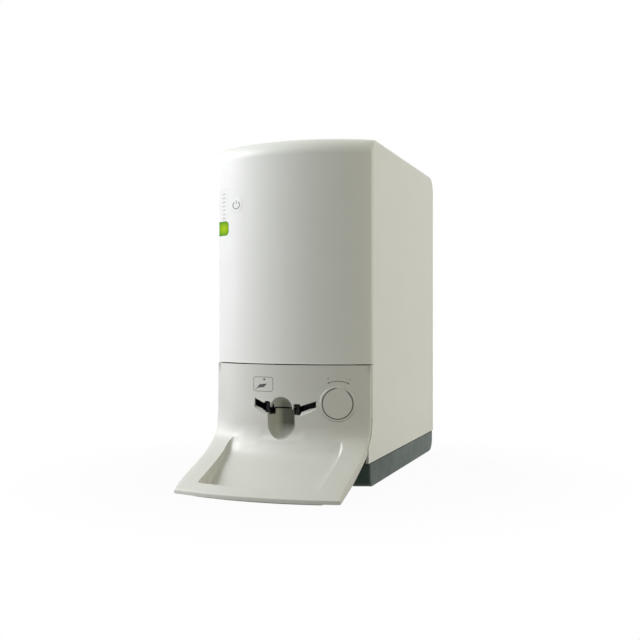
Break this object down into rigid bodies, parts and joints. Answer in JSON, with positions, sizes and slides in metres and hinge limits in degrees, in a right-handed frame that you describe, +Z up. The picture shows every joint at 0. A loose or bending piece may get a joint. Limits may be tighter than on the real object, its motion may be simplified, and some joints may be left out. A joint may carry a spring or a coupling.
{
  "type": "phosphor plate scanner",
  "caption": "Free-standing scanner for small dental imaging plates, with a bowed front, a plate slot with a finger bowl, a turning size selector and a catch tray.",
  "frame": {"origin": "on the table, under the middle of the footprint, tray included", "axes": "+Z up, the front with its tray faces -Y, +X to the right as seen from the front"},
  "size_m": [0.169, 0.391, 0.351],
  "materials": {
    "cover_white": "fine satin, warm white moulding",
    "panel_silver": "satin silver-grey painted moulding",
    "base_dark": "matte near-black moulding",
    "foot_rubber": "matte",
    "screw_steel": "plated",
    "rear_grey": "satin grey paint",
    "status_green": "tinted lens",
    "level_green": "tinted light bars",
    "board_green": "solder mask",
    "button_white": "satin",
    "black_plastic": "matte",
    "guide_black": "matte low-friction plastic",
    "sheet_steel": "zinc plated sheet",
    "cast_alloy": "machined",
    "bright_steel": "ground bar",
    "brass": "turned",
    "motor_black": "satin black",
    "mirror_facet": "polished",
    "clear_guide": "polished acrylic",
    "tube_metal": "shield can",
    "socket_metal": "stamped shell"
  },
  "bodies": {
    "housing": {"base_housing": "base_dark", "rubber_feet": "foot_rubber", "base_screws": "screw_steel", "main_cover": "cover_white", "front_cover": "cover_white", "tray_panel": "panel_silver", "rear_panel": "rear_grey", "rear_panel_screws": "screw_steel", "status_lens": "status_green", "level_light_pipe": "level_green", "indicator_board": "board_green", "power_switch": "black_plastic", "knob_bezel": "panel_silver", "chassis_floor": "sheet_steel", "left_side_frame": "sheet_steel", "right_side_frame": "sheet_steel", "optics_deck": "cast_alloy", "frame_screws": "screw_steel", "front_rod_bracket": "sheet_steel", "rear_rod_bracket": "sheet_steel", "guide_rods": "bright_steel", "screw_bearings": "bright_steel", "motor_bracket": "sheet_steel", "stepper_motor": "motor_black", "home_sensor": "black_plastic", "guide_carrier": "sheet_steel", "guide_clips": "screw_steel", "mirror_motor": "motor_black", "laser_module": "brass", "laser_clamp": "cast_alloy", "fold_mirror": "mirror_facet", "fold_mirror_bracket": "sheet_steel", "light_collector": "clear_guide", "photomultiplier": "tube_metal", "collector_bracket": "cast_alloy", "erase_lamp_bracket": "sheet_steel", "erase_lamp": "board_green", "main_board": "board_green", "board_standoffs": "brass", "dc_inlet": "black_plastic", "data_socket": "socket_metal"},
    "selector": {"selector_knob": "panel_silver", "selector_shaft": "bright_steel", "shaft_ring": "screw_steel"},
    "right_guide": {"right_plate_guide": "guide_black"},
    "left_guide": {"left_plate_guide": "guide_black"},
    "lever": {"reversing_lever": "bright_steel"},
    "button": {"power_button": "button_white", "switch_plunger": "black_plastic"},
    "carriage": {"plate_carriage": "black_plastic", "carriage_bushes": "brass", "lead_nut": "brass", "home_flag": "black_plastic"},
    "screw": {"lead_screw": "bright_steel", "shaft_coupling": "cast_alloy", "motor_shaft": "bright_steel"},
    "mirror": {"mirror_rotor": "mirror_facet"}
  },
  "joints": [
    {"name": "selector_turn", "type": "hinge", "parent": "housing", "child": "selector", "pos_m": [0.0535, -0.10303, 0.0863], "axis": [-0.3328, 0.943, 0], "range_deg": [-39, 14]},
    {"name": "right_guide_slide", "type": "slide", "parent": "housing", "child": "right_guide", "axis": [1, 0, 0], "range_m": [-0.00331, 0.00119]},
    {"name": "left_guide_slide", "type": "slide", "parent": "housing", "child": "left_guide", "axis": [-1, 0, 0], "range_m": [-0.00332, 0.0012]},
    {"name": "lever_turn", "type": "hinge", "parent": "housing", "child": "lever", "pos_m": [-0.003, -0.0848, 0.1085], "axis": [0, -1, 0], "range_deg": [-19.2, 6.9]},
    {"name": "power_press", "type": "slide", "parent": "housing", "child": "button", "axis": [0.362, 0.9322, 0], "range_m": [0, 0.001], "stiffness_N_per_m": 800, "springref_m": -0.0005},
    {"name": "carriage_slide", "type": "slide", "parent": "housing", "child": "carriage", "axis": [0, 1, 0], "range_m": [0, 0.088]},
    {"name": "screw_turn", "type": "hinge", "parent": "housing", "child": "screw", "pos_m": [-0.003, -0.075, 0.0576], "axis": [0, -1, 0], "continuous": true},
    {"name": "mirror_spin", "type": "hinge", "parent": "housing", "child": "mirror", "pos_m": [-0.003, 0.0605, 0.254], "axis": [0, 0, 1], "continuous": true}
  ],
  "couplings": [
    {"joint": "selector_turn", "follows": "right_guide_slide", "rad_per_m": 205.56},
    {"joint": "left_guide_slide", "follows": "right_guide_slide", "ratio": 1},
    {"joint": "lever_turn", "follows": "right_guide_slide", "rad_per_m": 100.86},
    {"joint": "screw_turn", "follows": "carriage_slide", "rad_per_m": 785.4}
  ]
}
